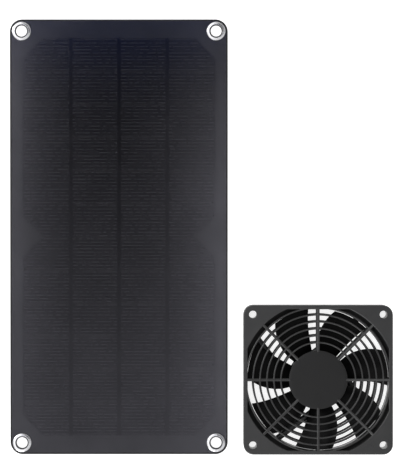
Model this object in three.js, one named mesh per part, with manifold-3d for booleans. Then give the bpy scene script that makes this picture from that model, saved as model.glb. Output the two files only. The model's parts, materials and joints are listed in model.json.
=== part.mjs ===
// Solar attic fan kit: a laminated solar panel with four eyelets and a 120 mm axial fan behind
// ring guards, lying face-up side by side on a flat surface.
//
// Millimetres, +Z up out of the panel's face, +Y towards the panel's junction-box end, +X from the
// panel towards the fan. The origin is the middle of the footprint, at the surface.
import * as THREE from "three";
import { mergeVertices } from "three/addons/utils/BufferGeometryUtils.js";
import Module from "manifold-3d";

const wasm = await Module();
wasm.setup();

// ---------------------------------------------------------------- driving dimensions

const PANEL = { width: 176, length: 352, corner: 10 };
const FAN = { side: 120, corner: 8, holeSpacing: 105, holeRadius: 3.1 };
const SIDE_GAP = 12.6; // between the panel's edge and the fan's
const FAN_SETBACK = 1.3; // how far the fan's lower side stands in from the panel's lower end
const SEAT_GAP = 0.05; // air between two pieces that seat on each other
const FULL_TURN = 2 * Math.PI;
const RIGHT_ANGLE = Math.PI / 2;

// The panel's layers, measured up from the back of its board.
const BOARD_THICKNESS = 1.6;
const CELL_THICKNESS = 0.25;
const RIBBON_THICKNESS = 0.1;
const FILM_THICKNESS = 0.5;
const CELL_Z = BOARD_THICKNESS + SEAT_GAP;
const RIBBON_Z = CELL_Z + CELL_THICKNESS + SEAT_GAP;
const FILM_Z = RIBBON_Z + RIBBON_THICKNESS + SEAT_GAP;
const FACE_Z = FILM_Z + FILM_THICKNESS;

// Two wafers, each cut in six strips, with their corners cut off before that.
const WAFER = { side: 156, strips: 6, cornerCut: 16.2 };
const STRIP_COUNT = 12;
const STRIP_HEIGHT = WAFER.side / WAFER.strips;
const STRIP_PITCH = 26.83;
const BUS_RIBBON_WIDTH = 3.2;
const BUS_RIBBON_COUNT = 3;
const END_RIBBON = { width: 4, clearance: 2.5 };

const EYELET = {
  inset: 9.4,
  bore: 4.4,
  barrel: 4.9,
  hole: 5,
  flange: 7.75,
  flangeHeight: 0.65,
  roll: 5.9,
  rollHeight: 0.6,
  washer: 7.4,
  washerHeight: 0.4,
};

// The junction box hangs from the back of the board, its lid facing the surface.
const BOX = { width: 52, length: 38, y: 136, depth: 7.6, wall: 2, floor: 1.4, corner: 3 };
const PAD_THICKNESS = 0.6;
const GASKET = { thickness: 0.8, width: 1.2 };
const LID_THICKNESS = 1.7;
const LID_SCREW = { x: 21, y: 14, radius: 1.2, head: 2.2, headHeight: 1.1, length: 6, boss: 2.9 };
const GLAND = { z: -4.7, bore: 2.2, thread: 3, collar: 4.3, nut: 4.2, collarLength: 3 };
const TERMINAL_BOARD = { width: 30, length: 20, thickness: 1.2, standoff: 0.6 };
const DIODE = { radius: 1.6, length: 6, y: 4 };

// The fan, measured up from the surface.
const GUARD_THICKNESS = 3;
const HOUSING_Z0 = GUARD_THICKNESS + SEAT_GAP;
const HOUSING_Z1 = 28;
const FRONT_GUARD_Z = HOUSING_Z1 + SEAT_GAP;
const FLANGE_THICKNESS = 3.5;
const DUCT = { radius: 57.2, wall: 2.2, mouth: 62 };
const POST_RADIUS = 5;
const RING = { count: 6, first: 30, pitch: 5.6, width: 1.5 };
const GUARD = { disc: 23.6, opening: 62, openingSide: 113.4, spokes: 8, spokeWidth: 2.3 };
const PEG = { radius: 1.2, length: 2.8, along: 56, across: 43, hole: 1.35 };

// The motor, on the fan's axis.
const MOTOR_BASE = { radius: 20.5, z0: 3.4, z1: 5.4 };
const STRUT = { count: 4, width: 5, z1: 6.8, angle: 307.7, offset: 18.5 };
const BEARING_TUBE = { outer: 4, inner: 3, z1: 20 };
const SLEEVE = { inner: 1.6, z0: 6.2, z1: 18 };
const SHAFT = { radius: 1.5, z0: 4.4, z1: 23.6 };
const CLIP = { outer: 2.5, z0: 4.9, z1: 5.3 };
const DRIVER_BOARD = { outer: 15, inner: 4.4, z0: 6, z1: 7 };
const STATOR = { outer: 16, shoe: 2.4, neck: 4, core: 6.6, inner: 4.1, z0: 9.4, z1: 14.4 };
const SHOE_ANGLE = 66;
const COIL = { width: 8, height: 9, inner: 7, outer: 12.6, clearance: 0.2 };
const MAGNET = { outer: 18.3, inner: 16.8, z0: 8.2, z1: 15.6 };
const YOKE = { outer: 19.3, z0: 7.9, z1: 22.95, thickness: 0.9, boss: 4.6 };
const HUB = { outer: 21.5, z0: 7.4, z1: 25.2, top: 2.2, boss: 4.4, bossZ0: 20.6, edge: 1.4 };
const BLADE = { count: 7, tip: 56.8, thickness: 1.7, midZ: 16.2, rootRise: 14, tipRise: 10 };
const BLADE_SWEEP = { trailing: 101, leading: 143.4, tipTrailing: 97.5, tipLeading: 127.5 };
const GROMMET = { angle: 236.9, z: 11, neck: 2.1, collar: 3.2, bore: 1.1, collarLength: 2 };

// How finely round shapes are divided.
const DUCT_STEPS = 48;
const RING_STEPS = 24;
const HUB_STEPS = 24;
const SMALL_STEPS = 12;
const CORNER_STEPS = 4;

// ---------------------------------------------------------------- materials

const plastic = (color, roughness) => () =>
  new THREE.MeshStandardMaterial({ color, roughness, metalness: 0 });
const metal = (color, roughness) => () =>
  new THREE.MeshStandardMaterial({ color, roughness, metalness: 1 });

const MATERIALS = {
  board: plastic(0x2c2c30, 0.55),
  film: plastic(0x3a3a40, 0.25),
  cell: plastic(0x15151f, 0.35),
  ribbon: plastic(0x17171c, 0.5),
  eyelet: metal(0xc9c9cc, 0.22),
  box: plastic(0x18181a, 0.5),
  rubber: plastic(0x101010, 0.9),
  housing: plastic(0x262627, 0.45),
  impeller: plastic(0x1b1b1c, 0.5),
  circuit: plastic(0x1d4a2c, 0.5),
  steel: metal(0x9a9a9c, 0.35),
  brass: metal(0xb08d4a, 0.35),
  copper: metal(0xb4653a, 0.35),
  magnet: plastic(0x2a2725, 0.8),
};

// ---------------------------------------------------------------- solids

/** A manifold solid with the shape of a closed geometry. */
function solid(geometry) {
  const bare = geometry.clone();
  bare.deleteAttribute("normal");
  bare.deleteAttribute("uv");
  const merged = mergeVertices(bare, 1e-4);
  const corners = merged.index.array;
  const triangles = [];
  for (let i = 0; i < corners.length; i += 3) {
    const [a, b, c] = corners.slice(i, i + 3);
    if (a !== b && b !== c && c !== a) triangles.push(a, b, c);
  }
  return new wasm.Manifold(
    new wasm.Mesh({
      numProp: 3,
      vertProperties: new Float32Array(merged.attributes.position.array),
      triVerts: new Uint32Array(triangles),
    }),
  );
}

/** The geometry of a manifold solid. */
function geometryOf(shape) {
  const { vertProperties, triVerts } = shape.getMesh();
  const geometry = new THREE.BufferGeometry();
  geometry.setAttribute("position", new THREE.BufferAttribute(vertProperties, 3));
  geometry.setIndex(new THREE.BufferAttribute(triVerts, 1));
  geometry.computeVertexNormals();
  return geometry;
}

/** The base with every cutter taken out of it. */
function cut(base, ...cutters) {
  return cutters.reduce((left, cutter) => left.subtract(cutter), base);
}

/** One solid made of all the pieces. */
function join(...pieces) {
  return pieces.reduce((whole, piece) => whole.add(piece));
}

/** An outline carried up from z0 to z1. */
function prism(shape, z0, z1) {
  const geometry = new THREE.ExtrudeGeometry(shape, {
    depth: z1 - z0,
    bevelEnabled: false,
    curveSegments: CORNER_STEPS,
  });
  return geometry.translate(0, 0, z0);
}

/** A round body about Z, from [radius, z] points that run anticlockwise round its section. */
function turned(profile, steps) {
  const points = profile.map(([radius, z]) => new THREE.Vector2(radius, z));
  return new THREE.LatheGeometry(points, steps).rotateX(RIGHT_ANGLE);
}

/** A ring with a square section. */
function tube(inner, outer, z0, z1, steps) {
  const profile = [[inner, z0], [outer, z0], [outer, z1], [inner, z1], [inner, z0]];
  return turned(profile, steps);
}

/** A solid cylinder about Z. */
function disc(radius, z0, z1, steps) {
  return turned([[0, z0], [radius, z0], [radius, z1], [0, z1]], steps);
}

/** A box from z0 to z1, centred on x and y. */
function block(width, length, z0, z1, x = 0, y = 0) {
  return new THREE.BoxGeometry(width, length, z1 - z0).translate(x, y, (z0 + z1) / 2);
}

/** A rectangle with round corners, centred on the origin. */
function roundedRectangle(width, length, radius) {
  const [x, y] = [width / 2 - radius, length / 2 - radius];
  const shape = new THREE.Shape();
  shape.absarc(x, -y, radius, -RIGHT_ANGLE, 0);
  shape.absarc(x, y, radius, 0, RIGHT_ANGLE);
  shape.absarc(-x, y, radius, RIGHT_ANGLE, 2 * RIGHT_ANGLE);
  shape.absarc(-x, -y, radius, 2 * RIGHT_ANGLE, 3 * RIGHT_ANGLE);
  return shape;
}

/** The four points at plus and minus x and y, anticlockwise from the lower left. */
function fourCorners(x, y) {
  return [[-x, -y], [x, -y], [x, y], [-x, y]];
}

/** A named mesh with a material of its own. */
function piece(name, material, geometry) {
  const mesh = new THREE.Mesh(geometry, MATERIALS[material]());
  mesh.name = name;
  return mesh;
}

// ---------------------------------------------------------------- panel

const EYELET_PLACES = fourCorners(
  PANEL.width / 2 - EYELET.inset,
  PANEL.length / 2 - EYELET.inset,
);

/** A sheet of the panel's outline with its four eyelet holes. */
function panelSheet(z0, z1) {
  const sheet = solid(prism(roundedRectangle(PANEL.width, PANEL.length, PANEL.corner), z0, z1));
  const holes = EYELET_PLACES.map(([x, y]) =>
    solid(disc(EYELET.hole, z0 - 1, z1 + 1, SMALL_STEPS).translate(x, y, 0)),
  );
  return geometryOf(cut(sheet, ...holes));
}

/** One strip of a wafer, with its upper or lower pair of corners cut where it is an end strip. */
function stripShape(isFirst, isLast) {
  const [x, y] = [WAFER.side / 2, STRIP_HEIGHT / 2];
  const top = isFirst ? WAFER.cornerCut : 0;
  const bottom = isLast ? WAFER.cornerCut : 0;
  const shape = new THREE.Shape();
  shape.moveTo(-x + bottom, -y);
  shape.lineTo(x - bottom, -y);
  if (isLast) shape.lineTo(x, -y + bottom);
  shape.lineTo(x, y - top);
  if (isFirst) shape.lineTo(x - top, y);
  shape.lineTo(-x + top, y);
  if (isFirst) shape.lineTo(-x, y - top);
  if (isLast) shape.lineTo(-x, -y + bottom);
  return shape;
}

/** The twelve strips, from the junction-box end down. */
function cellStrips() {
  return Array.from({ length: STRIP_COUNT }, (_, i) => {
    const place = i % WAFER.strips;
    const shape = stripShape(place === 0, place === WAFER.strips - 1);
    const y = ((STRIP_COUNT - 1) / 2 - i) * STRIP_PITCH;
    const geometry = prism(shape, CELL_Z, CELL_Z + CELL_THICKNESS).translate(0, y, 0);
    return piece(`cell_strip_${String(i + 1).padStart(2, "0")}`, "cell", geometry);
  });
}

/** Three ribbons down the field and one across each end of it. */
function ribbons() {
  const fieldLength = STRIP_COUNT * STRIP_PITCH;
  const spacing = WAFER.side / (BUS_RIBBON_COUNT + 1);
  const z1 = RIBBON_Z + RIBBON_THICKNESS;
  const endY = fieldLength / 2 + END_RIBBON.clearance + END_RIBBON.width / 2;
  const span = (BUS_RIBBON_COUNT - 1) * spacing + BUS_RIBBON_WIDTH;
  const down = Array.from({ length: BUS_RIBBON_COUNT }, (_, i) => {
    const x = (i - (BUS_RIBBON_COUNT - 1) / 2) * spacing;
    const geometry = block(BUS_RIBBON_WIDTH, fieldLength, RIBBON_Z, z1, x, 0);
    return piece(`bus_ribbon_${i + 1}`, "ribbon", geometry);
  });
  const across = [["top", endY], ["bottom", -endY]].map(([end, y]) =>
    piece(`end_ribbon_${end}`, "ribbon", block(span, END_RIBBON.width, RIBBON_Z, z1, 0, y)),
  );
  return [...down, ...across];
}

const WASHER_TOP = -SEAT_GAP;
const ROLL_TOP = WASHER_TOP - EYELET.washerHeight - SEAT_GAP;
const ROLL_BOTTOM = ROLL_TOP - EYELET.rollHeight;

/** The eyelet: a domed flange on the face, a barrel, and its end rolled out under the washer. */
function eyeletGeometry() {
  const seat = FACE_Z + SEAT_GAP;
  const top = seat + EYELET.flangeHeight;
  const profile = [
    [EYELET.bore, ROLL_BOTTOM],
    [EYELET.roll - 0.3, ROLL_BOTTOM],
    [EYELET.roll, ROLL_TOP],
    [EYELET.barrel, ROLL_TOP],
    [EYELET.barrel, seat],
    [EYELET.flange, seat],
    [EYELET.flange - 0.9, top],
    [EYELET.bore + 0.7, top],
    [EYELET.bore, top - 0.5],
    [EYELET.bore, ROLL_BOTTOM],
  ];
  return turned(profile, SMALL_STEPS);
}

function eyelets() {
  const washerBottom = WASHER_TOP - EYELET.washerHeight;
  return EYELET_PLACES.flatMap(([x, y], i) => [
    piece(`eyelet_${i + 1}`, "eyelet", eyeletGeometry().translate(x, y, 0)),
    piece(
      `eyelet_washer_${i + 1}`,
      "eyelet",
      tube(EYELET.hole, EYELET.washer, washerBottom, WASHER_TOP, SMALL_STEPS).translate(x, y, 0),
    ),
  ]);
}

// The junction box's levels, going down from the back of the board.
const PAD_BOTTOM = -SEAT_GAP - PAD_THICKNESS;
const TRAY_TOP = PAD_BOTTOM - SEAT_GAP;
const TRAY_RIM = TRAY_TOP - BOX.depth;
const GASKET_TOP = TRAY_RIM - SEAT_GAP;
const GASKET_BOTTOM = GASKET_TOP - GASKET.thickness;
const LID_TOP = GASKET_BOTTOM - SEAT_GAP;
const LID_BOTTOM = LID_TOP - LID_THICKNESS;
const CAVITY_TOP = TRAY_TOP - BOX.floor;
const SCREW_PLACES = [[-LID_SCREW.x, LID_SCREW.y], [LID_SCREW.x, -LID_SCREW.y]];
const BOX_NEAR_SIDE = -BOX.length / 2; // the side that faces the panel's other end

/** A cylinder along Y, from y0 to y1, at the gland's height. */
function alongGland(radius, y0, y1, steps) {
  return disc(radius, 0, y1 - y0, steps).rotateX(-RIGHT_ANGLE).translate(0, y0, GLAND.z);
}

function boxTray() {
  const outer = roundedRectangle(BOX.width, BOX.length, BOX.corner);
  const inner = roundedRectangle(BOX.width - 2 * BOX.wall, BOX.length - 2 * BOX.wall, 1);
  const bosses = SCREW_PLACES.map(([x, y]) =>
    solid(disc(LID_SCREW.boss, TRAY_RIM, TRAY_TOP - 0.5, SMALL_STEPS).translate(x, y, 0)),
  );
  const screwHoles = SCREW_PLACES.map(([x, y]) =>
    solid(
      disc(LID_SCREW.radius + SEAT_GAP, TRAY_RIM - 1, TRAY_TOP - BOX.floor, SMALL_STEPS)
        .translate(x, y, 0),
    ),
  );
  const shell = cut(
    solid(prism(outer, TRAY_RIM, TRAY_TOP)),
    solid(prism(inner, TRAY_RIM - 1, CAVITY_TOP)),
  );
  const outlet = solid(
    alongGland(GLAND.thread + SEAT_GAP, BOX_NEAR_SIDE - 1, BOX_NEAR_SIDE + BOX.wall + 1, SMALL_STEPS),
  );
  return geometryOf(cut(join(shell, ...bosses), ...screwHoles, outlet));
}

function boxLid() {
  const plate = solid(prism(roundedRectangle(BOX.width, BOX.length, BOX.corner), LID_BOTTOM, LID_TOP));
  const holes = SCREW_PLACES.flatMap(([x, y]) => [
    solid(disc(LID_SCREW.radius + 0.2, LID_BOTTOM - 1, LID_TOP + 1, SMALL_STEPS).translate(x, y, 0)),
    solid(
      disc(LID_SCREW.head + 0.2, LID_BOTTOM - 1, LID_BOTTOM + LID_SCREW.headHeight, SMALL_STEPS)
        .translate(x, y, 0),
    ),
  ]);
  return geometryOf(cut(plate, ...holes));
}

function boxGasket() {
  const inset = (BOX.wall - GASKET.width) / 2;
  const [width, length] = [BOX.width - 2 * inset, BOX.length - 2 * inset];
  const shape = roundedRectangle(width, length, BOX.corner - inset);
  const [innerWidth, innerLength] = [width - 2 * GASKET.width, length - 2 * GASKET.width];
  shape.holes.push(roundedRectangle(innerWidth, innerLength, 1.5));
  return prism(shape, GASKET_BOTTOM, GASKET_TOP);
}

/** A countersunk lid screw, its head just inside the lid's outer face. */
function lidScrew() {
  const headTop = LID_BOTTOM + LID_SCREW.headHeight - SEAT_GAP;
  const profile = [
    [0, LID_BOTTOM + 0.2],
    [LID_SCREW.head, LID_BOTTOM + 0.2],
    [LID_SCREW.head, headTop],
    [LID_SCREW.radius, headTop],
    [LID_SCREW.radius, headTop + LID_SCREW.length],
    [0, headTop + LID_SCREW.length],
  ];
  return turned(profile, SMALL_STEPS);
}

/** The gland: a threaded body through the wall, the seal in its mouth and the nut outside. */
function glandPieces() {
  const wallFace = BOX_NEAR_SIDE - SEAT_GAP;
  const collarEnd = wallFace - GLAND.collarLength;
  const inside = BOX_NEAR_SIDE + BOX.wall + 1;
  const nutStart = collarEnd - SEAT_GAP;
  const nutEnd = nutStart - 7;
  const threadEnd = nutStart - 4;
  const bore = solid(alongGland(GLAND.bore, nutEnd - 1, inside + 1, SMALL_STEPS));
  const body = join(
    solid(alongGland(GLAND.thread, threadEnd, inside, SMALL_STEPS)),
    solid(alongGland(GLAND.collar, collarEnd, wallFace, 6)),
  );
  const thread = solid(alongGland(GLAND.thread + SEAT_GAP, threadEnd - 1.8, nutStart + 1, SMALL_STEPS));
  const nut = cut(solid(alongGland(GLAND.nut, nutEnd, nutStart, SMALL_STEPS)), thread, bore);
  const seal = cut(
    solid(alongGland(GLAND.thread - 0.2, threadEnd - 1.7, threadEnd - SEAT_GAP, SMALL_STEPS)),
    solid(alongGland(GLAND.bore - 0.4, nutEnd - 1, inside, SMALL_STEPS)),
  );
  return [
    piece("gland_body", "box", geometryOf(cut(body, bore))),
    piece("gland_nut", "box", geometryOf(nut)),
    piece("gland_seal", "rubber", geometryOf(seal)),
  ];
}

function junctionBox() {
  const padBlock = prism(roundedRectangle(BOX.width - 2, BOX.length - 2, 2), PAD_BOTTOM, -SEAT_GAP);
  const boardTop = CAVITY_TOP - TERMINAL_BOARD.standoff;
  const boardBottom = boardTop - TERMINAL_BOARD.thickness;
  const board = block(TERMINAL_BOARD.width, TERMINAL_BOARD.length, boardBottom, boardTop);
  const diode = disc(DIODE.radius, -DIODE.length / 2, DIODE.length / 2, SMALL_STEPS)
    .rotateY(RIGHT_ANGLE)
    .translate(0, DIODE.y, boardBottom - DIODE.radius - SEAT_GAP);
  const screws = SCREW_PLACES.map(([x, y], i) =>
    piece(`box_lid_screw_${i + 1}`, "steel", lidScrew().translate(x, y, 0)),
  );
  const box = new THREE.Group();
  box.add(
    piece("box_adhesive_pad", "rubber", padBlock),
    piece("junction_box_base", "box", boxTray()),
    piece("junction_box_gasket", "rubber", boxGasket()),
    piece("junction_box_lid", "box", boxLid()),
    piece("terminal_board", "circuit", board),
    piece("blocking_diode", "box", diode),
    ...screws,
    ...glandPieces(),
  );
  box.position.y = BOX.y;
  return box;
}

/** The panel, tilted so that it lies on its lower eyelets and on the near edge of its box. */
function panel() {
  const group = new THREE.Group();
  group.add(
    piece("backing_board", "board", panelSheet(0, BOARD_THICKNESS)),
    ...cellStrips(),
    ...ribbons(),
    piece("cover_film", "film", panelSheet(FILM_Z, FACE_Z)),
    ...eyelets(),
    junctionBox(),
  );
  const lowEyelet = -PANEL.length / 2 + EYELET.inset - (EYELET.roll - 0.3);
  const boxEdge = BOX.y + BOX_NEAR_SIDE;
  const tilt = Math.atan((ROLL_BOTTOM - LID_BOTTOM) / (boxEdge - lowEyelet));
  group.rotation.x = tilt;
  group.position.x = -(FAN.side + SIDE_GAP) / 2;
  group.position.z = -(lowEyelet * Math.sin(tilt) + ROLL_BOTTOM * Math.cos(tilt));
  return group;
}

// ---------------------------------------------------------------- fan

const HOLE_PLACES = fourCorners(FAN.holeSpacing / 2, FAN.holeSpacing / 2);
const PEG_PLACES = fourCorners(PEG.along, PEG.across);

/** The fan's square outline, from z0 to z1. */
function squarePlate(z0, z1) {
  return solid(prism(roundedRectangle(FAN.side, FAN.side, FAN.corner), z0, z1));
}

/** The same cylinder at each of the given places. */
function cylindersAt(places, radius, z0, z1) {
  return places.map(([x, y]) => solid(disc(radius, z0, z1, SMALL_STEPS).translate(x, y, 0)));
}

/** A ring guard: frame, rings, spokes and centre disc, with its pegs on the side of pegZ. */
function guardGeometry(z0, z1, pegZ0, pegZ1) {
  const window = solid(disc(GUARD.opening, z0 - 1, z1 + 1, DUCT_STEPS)).intersect(
    solid(block(GUARD.openingSide, GUARD.openingSide, z0 - 1, z1 + 1)),
  );
  const rings = Array.from({ length: RING.count }, (_, i) => {
    const middle = RING.first + i * RING.pitch;
    return solid(tube(middle - RING.width / 2, middle + RING.width / 2, z0, z1, RING_STEPS));
  });
  const spokes = Array.from({ length: GUARD.spokes / 2 }, (_, i) =>
    solid(
      block(2 * GUARD.opening + 1, GUARD.spokeWidth, z0, z1)
        .rotateZ((i * FULL_TURN) / GUARD.spokes),
    ),
  );
  const grille = join(solid(disc(GUARD.disc, z0, z1, RING_STEPS)), ...rings, ...spokes);
  const frame = cut(squarePlate(z0, z1), window);
  const pegs = cylindersAt(PEG_PLACES, PEG.radius, pegZ0, pegZ1);
  const holes = cylindersAt(HOLE_PLACES, FAN.holeRadius, z0 - 1, z1 + 1);
  const outline = squarePlate(z0, z1);
  return geometryOf(cut(join(frame, grille.intersect(outline), ...pegs), ...holes));
}

/** The widening of the duct into the corners, at one face of the housing. */
function cornerMouth(zThroat, zFace) {
  const [low, high] = zThroat < zFace ? [DUCT.radius, DUCT.mouth] : [DUCT.mouth, DUCT.radius];
  const [z0, z1] = [Math.min(zThroat, zFace), Math.max(zThroat, zFace)];
  const cone = turned([[0, z0], [low, z0], [high, z1], [0, z1]], DUCT_STEPS);
  return solid(cone).intersect(solid(block(2 * DUCT.radius, 2 * DUCT.radius, z0, z1)));
}

/** The bars that carry the motor base, each leaving it along a tangent. */
function struts() {
  const start = THREE.MathUtils.degToRad(STRUT.angle);
  const length = DUCT.radius;
  return Array.from({ length: STRUT.count }, (_, i) => {
    const bar = block(length, STRUT.width, MOTOR_BASE.z0, STRUT.z1, length / 2, 0)
      .rotateZ(-RIGHT_ANGLE)
      .translate(STRUT.offset, 0, 0)
      .rotateZ(start + (i * FULL_TURN) / STRUT.count);
    return solid(bar);
  });
}

/** A geometry built about Z, laid along the grommet's radial axis with its z = 0 at radius. */
function alongGrommet(geometry, radius) {
  return geometry
    .rotateY(RIGHT_ANGLE)
    .translate(radius, 0, GROMMET.z)
    .rotateZ(THREE.MathUtils.degToRad(GROMMET.angle));
}

function housingGeometry() {
  const wallOuter = DUCT.radius + DUCT.wall;
  const bore = solid(disc(DUCT.radius, HOUSING_Z0 - 1, HOUSING_Z1 + 1, DUCT_STEPS));
  const body = join(
    squarePlate(HOUSING_Z0, HOUSING_Z0 + FLANGE_THICKNESS),
    squarePlate(HOUSING_Z1 - FLANGE_THICKNESS, HOUSING_Z1),
    solid(disc(wallOuter, HOUSING_Z0 + 1, HOUSING_Z1 - 1, DUCT_STEPS)),
    ...cylindersAt(HOLE_PLACES, POST_RADIUS, HOUSING_Z0 + 1, HOUSING_Z1 - 1),
  );
  const duct = cut(
    body,
    bore,
    cornerMouth(HOUSING_Z1 - FLANGE_THICKNESS, HOUSING_Z1),
    cornerMouth(HOUSING_Z0 + FLANGE_THICKNESS, HOUSING_Z0),
  );
  const spider = join(
    solid(disc(MOTOR_BASE.radius, MOTOR_BASE.z0, MOTOR_BASE.z1, HUB_STEPS)),
    ...struts(),
  ).intersect(solid(disc(DUCT.radius + 1, 0, HOUSING_Z1, DUCT_STEPS)));
  const leadHole = alongGrommet(disc(GROMMET.neck + SEAT_GAP, -4, 8, SMALL_STEPS), DUCT.radius);
  return geometryOf(
    cut(
      join(duct, spider),
      solid(disc(BEARING_TUBE.outer + SEAT_GAP, 0, HOUSING_Z1, SMALL_STEPS)),
      ...cylindersAt(HOLE_PLACES, FAN.holeRadius, HOUSING_Z0 - 1, HOUSING_Z1 + 1),
      ...cylindersAt(PEG_PLACES, PEG.hole, HOUSING_Z0 - 1, HOUSING_Z1 + 1),
      solid(leadHole),
    ),
  );
}

function grommetGeometry() {
  const outside = DUCT.wall + 0.1;
  const profile = [
    [GROMMET.bore, 0.4],
    [GROMMET.neck, 0.4],
    [GROMMET.neck, outside],
    [GROMMET.collar, outside],
    [GROMMET.collar, outside + GROMMET.collarLength],
    [GROMMET.bore, outside + GROMMET.collarLength],
    [GROMMET.bore, 0.4],
  ];
  return alongGrommet(turned(profile, SMALL_STEPS), DUCT.radius);
}

/** The laminated core: a ring with four necks, each ending in a curved pole shoe. */
function statorGeometry() {
  const { outer, shoe, neck, core, inner, z0, z1 } = STATOR;
  const half = THREE.MathUtils.degToRad(SHOE_ANGLE / 2);
  const shoeShape = new THREE.Shape();
  shoeShape.absarc(0, 0, outer, -half, half, false);
  shoeShape.absarc(0, 0, outer - shoe, half, -half, true);
  const poles = Array.from({ length: 4 }, (_, i) => {
    const reach = outer - shoe / 2;
    const arm = solid(block(reach, neck, z0, z1, reach / 2, 0).rotateZ(i * RIGHT_ANGLE));
    return arm.add(solid(prism(shoeShape, z0, z1).rotateZ(i * RIGHT_ANGLE)));
  });
  const ring = solid(disc(core, z0, z1, SMALL_STEPS));
  const bore = solid(disc(inner, z0 - 1, z1 + 1, SMALL_STEPS));
  return geometryOf(cut(join(ring, ...poles), bore));
}

/** A winding round one neck of the core. */
function coilGeometry(turn) {
  const middle = (STATOR.z0 + STATOR.z1) / 2;
  const [z0, z1] = [middle - COIL.height / 2, middle + COIL.height / 2];
  const outline = roundedRectangle(COIL.height, COIL.width, 1.5);
  const neckHeight = STATOR.z1 - STATOR.z0 + 2 * COIL.clearance;
  const neckWidth = STATOR.neck + 2 * COIL.clearance;
  outline.holes.push(roundedRectangle(neckHeight, neckWidth, 0.3));
  return prism(outline, COIL.inner, COIL.outer)
    .rotateY(RIGHT_ANGLE)
    .translate(0, 0, (z0 + z1) / 2)
    .rotateZ(turn);
}

function fanUnit() {
  const group = new THREE.Group();
  const coils = Array.from({ length: 4 }, (_, i) =>
    piece(`coil_${i + 1}`, "copper", coilGeometry(i * RIGHT_ANGLE)),
  );
  const frontTop = FRONT_GUARD_Z + GUARD_THICKNESS;
  const front = guardGeometry(FRONT_GUARD_Z, frontTop, FRONT_GUARD_Z - PEG.length, frontTop - 1);
  const rear = guardGeometry(0, GUARD_THICKNESS, 1, GUARD_THICKNESS + PEG.length);
  group.add(
    piece("fan_housing", "housing", housingGeometry()),
    piece("front_guard", "housing", front),
    piece("rear_guard", "housing", rear),
    piece("bearing_tube", "brass", bearingTube()),
    piece("bearing_sleeve", "brass", bearingSleeve()),
    piece("stator_core", "steel", statorGeometry()),
    ...coils,
    piece("driver_board", "circuit", driverBoard()),
    piece("lead_grommet", "rubber", grommetGeometry()),
  );
  return group;
}

function bearingTube() {
  const { outer, inner, z1 } = BEARING_TUBE;
  return tube(inner, outer - SEAT_GAP, MOTOR_BASE.z0, z1, SMALL_STEPS);
}

function bearingSleeve() {
  const outer = BEARING_TUBE.inner - 2 * SEAT_GAP;
  return tube(SLEEVE.inner, outer, SLEEVE.z0, SLEEVE.z1, SMALL_STEPS);
}

function driverBoard() {
  const { inner, outer, z0, z1 } = DRIVER_BOARD;
  return tube(inner, outer, z0, z1, HUB_STEPS);
}

// ---------------------------------------------------------------- rotor

/** Where a blade's edges stand at a radius, in radians: [trailing, leading]. */
function bladeEdges(radius) {
  const share = Math.max(0, (radius - 27) / (BLADE.tip - 27));
  const { trailing, leading, tipTrailing, tipLeading } = BLADE_SWEEP;
  const back = trailing + (tipTrailing - trailing) * share ** 2;
  const front = leading + (tipLeading - leading) * share ** 1.5;
  return [THREE.MathUtils.degToRad(back), THREE.MathUtils.degToRad(front)];
}

/** One blade: a box bent so that x runs out from the hub, y round it and z through the blade. */
function bladeGeometry(turn) {
  const root = HUB.outer - 0.6;
  const geometry = new THREE.BoxGeometry(1, 1, 1, 6, 6, 1);
  const position = geometry.attributes.position;
  for (let i = 0; i < position.count; i += 1) {
    const span = position.getX(i) + 0.5;
    const chord = position.getY(i) + 0.5;
    const radius = root + (BLADE.tip - root) * span;
    const [back, front] = bladeEdges(radius);
    const angle = turn + back + (front - back) * chord;
    const rise = BLADE.rootRise + (BLADE.tipRise - BLADE.rootRise) * span;
    const camber = -1.6 * 4 * chord * (1 - chord);
    const thickness = BLADE.thickness * (1 - 0.35 * span);
    const z = BLADE.midZ + (chord - 0.5) * rise + camber + position.getZ(i) * thickness;
    position.setXYZ(i, radius * Math.cos(angle), radius * Math.sin(angle), z);
  }
  return geometry;
}

/** The hub's cap and the boss that holds the shaft. */
function hubSolid() {
  const inner = YOKE.outer + SEAT_GAP;
  const ceiling = HUB.z1 - HUB.top;
  const cap = turned(
    [
      [inner, HUB.z0],
      [HUB.outer, HUB.z0],
      [HUB.outer, HUB.z1 - HUB.edge],
      [HUB.outer - HUB.edge, HUB.z1],
      [0, HUB.z1],
      [0, ceiling],
      [inner, ceiling],
      [inner, HUB.z0],
    ],
    HUB_STEPS,
  );
  const boss = solid(disc(HUB.boss, HUB.bossZ0, ceiling + 1, SMALL_STEPS));
  const shaftHole = solid(disc(SHAFT.radius + SEAT_GAP, 0, SHAFT.z1 + SEAT_GAP, SMALL_STEPS));
  return cut(join(solid(cap), boss), shaftHole);
}

function impellerGeometry() {
  const blades = Array.from({ length: BLADE.count }, (_, i) =>
    solid(bladeGeometry((i * FULL_TURN) / BLADE.count)),
  );
  const core = solid(disc(YOKE.outer + SEAT_GAP, 0, HUB.z1 - HUB.top, HUB_STEPS));
  const outside = blades.map((blade) => blade.subtract(core));
  return geometryOf(join(hubSolid(), ...outside));
}

function yokeGeometry() {
  const inner = YOKE.outer - YOKE.thickness;
  const profile = [
    [inner, YOKE.z0],
    [YOKE.outer, YOKE.z0],
    [YOKE.outer, YOKE.z1],
    [YOKE.boss, YOKE.z1],
    [YOKE.boss, YOKE.z1 - YOKE.thickness],
    [inner, YOKE.z1 - YOKE.thickness],
    [inner, YOKE.z0],
  ];
  return turned(profile, HUB_STEPS);
}

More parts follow.
